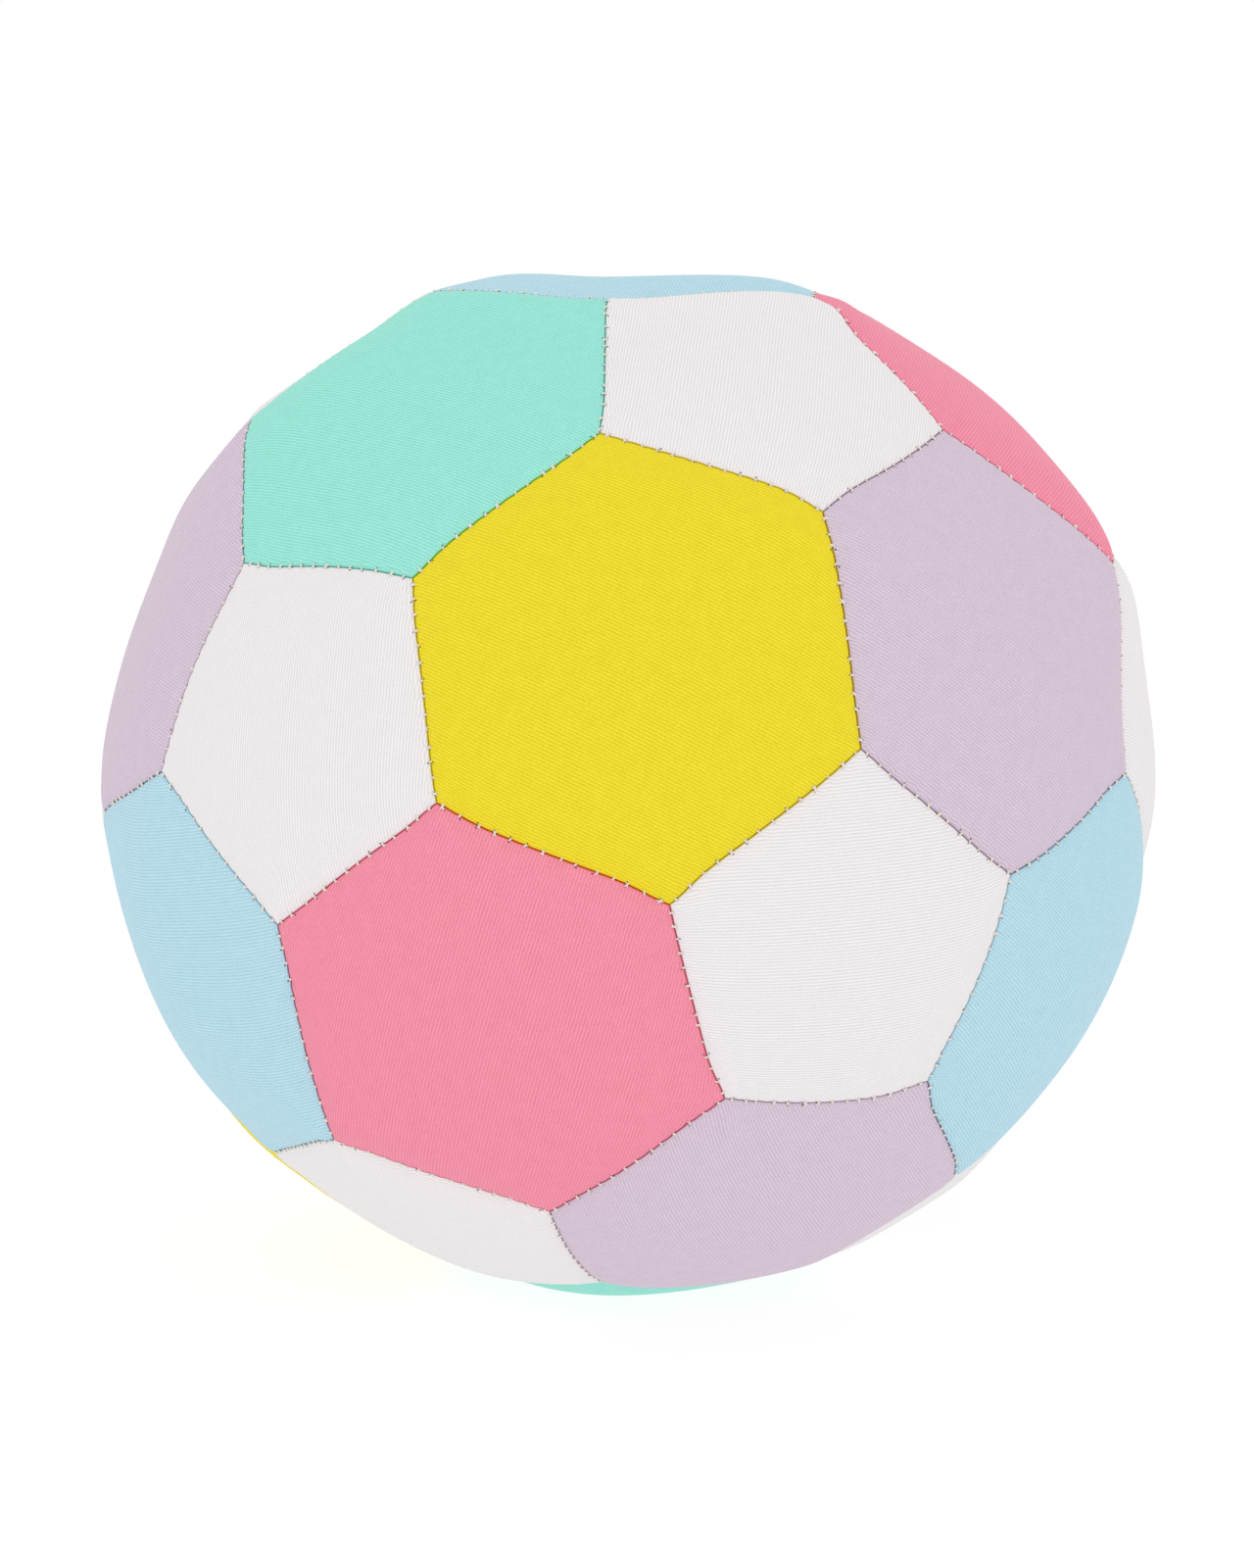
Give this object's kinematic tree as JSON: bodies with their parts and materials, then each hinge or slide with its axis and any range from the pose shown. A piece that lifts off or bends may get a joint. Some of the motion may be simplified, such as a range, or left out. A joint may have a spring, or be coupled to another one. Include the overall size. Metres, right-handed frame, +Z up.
{
  "type": "beach soccer ball",
  "caption": "Soft sewn ball of coloured hexagon and white pentagon foam panels round an air bladder with a needle valve, for play on sand.",
  "frame": {"origin": "centre of the ball", "axes": "+Z up, through the middle of the top hexagon; -Y towards the viewer of the picture, whose yellow hexagon lies in the plane X = 0"},
  "size_m": [0.2214, 0.2218, 0.2169],
  "materials": {
    "white_neoprene": "knit jersey face on foam, matt and softly ribbed",
    "yellow_neoprene": "knit jersey face on foam, matt and softly ribbed",
    "mint_neoprene": "knit jersey face on foam, matt and softly ribbed",
    "pink_neoprene": "knit jersey face on foam, matt and softly ribbed",
    "lilac_neoprene": "knit jersey face on foam, matt and softly ribbed",
    "sky_neoprene": "knit jersey face on foam, matt and softly ribbed",
    "seam_thread": "twisted polyester thread",
    "bladder_butyl": "matt moulded butyl",
    "valve_rubber": "satin moulded rubber",
    "core_rubber": "soft matt rubber",
    "patch_canvas": "rubberised canvas"
  },
  "bodies": {
    "root": {"white_pentagon_1": "white_neoprene", "white_pentagon_2": "white_neoprene", "white_pentagon_3": "white_neoprene", "white_pentagon_4": "white_neoprene", "white_pentagon_5": "white_neoprene", "white_pentagon_6": "white_neoprene", "white_pentagon_7": "white_neoprene", "white_pentagon_8": "white_neoprene", "white_pentagon_9": "white_neoprene", "white_pentagon_10": "white_neoprene", "white_pentagon_11": "white_neoprene", "white_pentagon_12": "white_neoprene", "yellow_hexagon_1": "yellow_neoprene", "yellow_hexagon_2": "yellow_neoprene", "yellow_hexagon_3": "yellow_neoprene", "yellow_hexagon_4": "yellow_neoprene", "mint_hexagon_1": "mint_neoprene", "mint_hexagon_2": "mint_neoprene", "mint_hexagon_3": "mint_neoprene", "mint_hexagon_4": "mint_neoprene", "pink_hexagon_1": "pink_neoprene", "pink_hexagon_2": "pink_neoprene", "pink_hexagon_3": "pink_neoprene", "pink_hexagon_4": "pink_neoprene", "lilac_hexagon_1": "lilac_neoprene", "lilac_hexagon_2": "lilac_neoprene", "lilac_hexagon_3": "lilac_neoprene", "lilac_hexagon_4": "lilac_neoprene", "sky_hexagon_1": "sky_neoprene", "sky_hexagon_2": "sky_neoprene", "sky_hexagon_3": "sky_neoprene", "sky_hexagon_4": "sky_neoprene", "pentagon_seam_thread": "seam_thread", "hexagon_seam_thread": "seam_thread", "bladder": "bladder_butyl", "valve_body": "valve_rubber", "valve_core": "core_rubber", "valve_patch": "patch_canvas"}
  },
  "joints": []
}
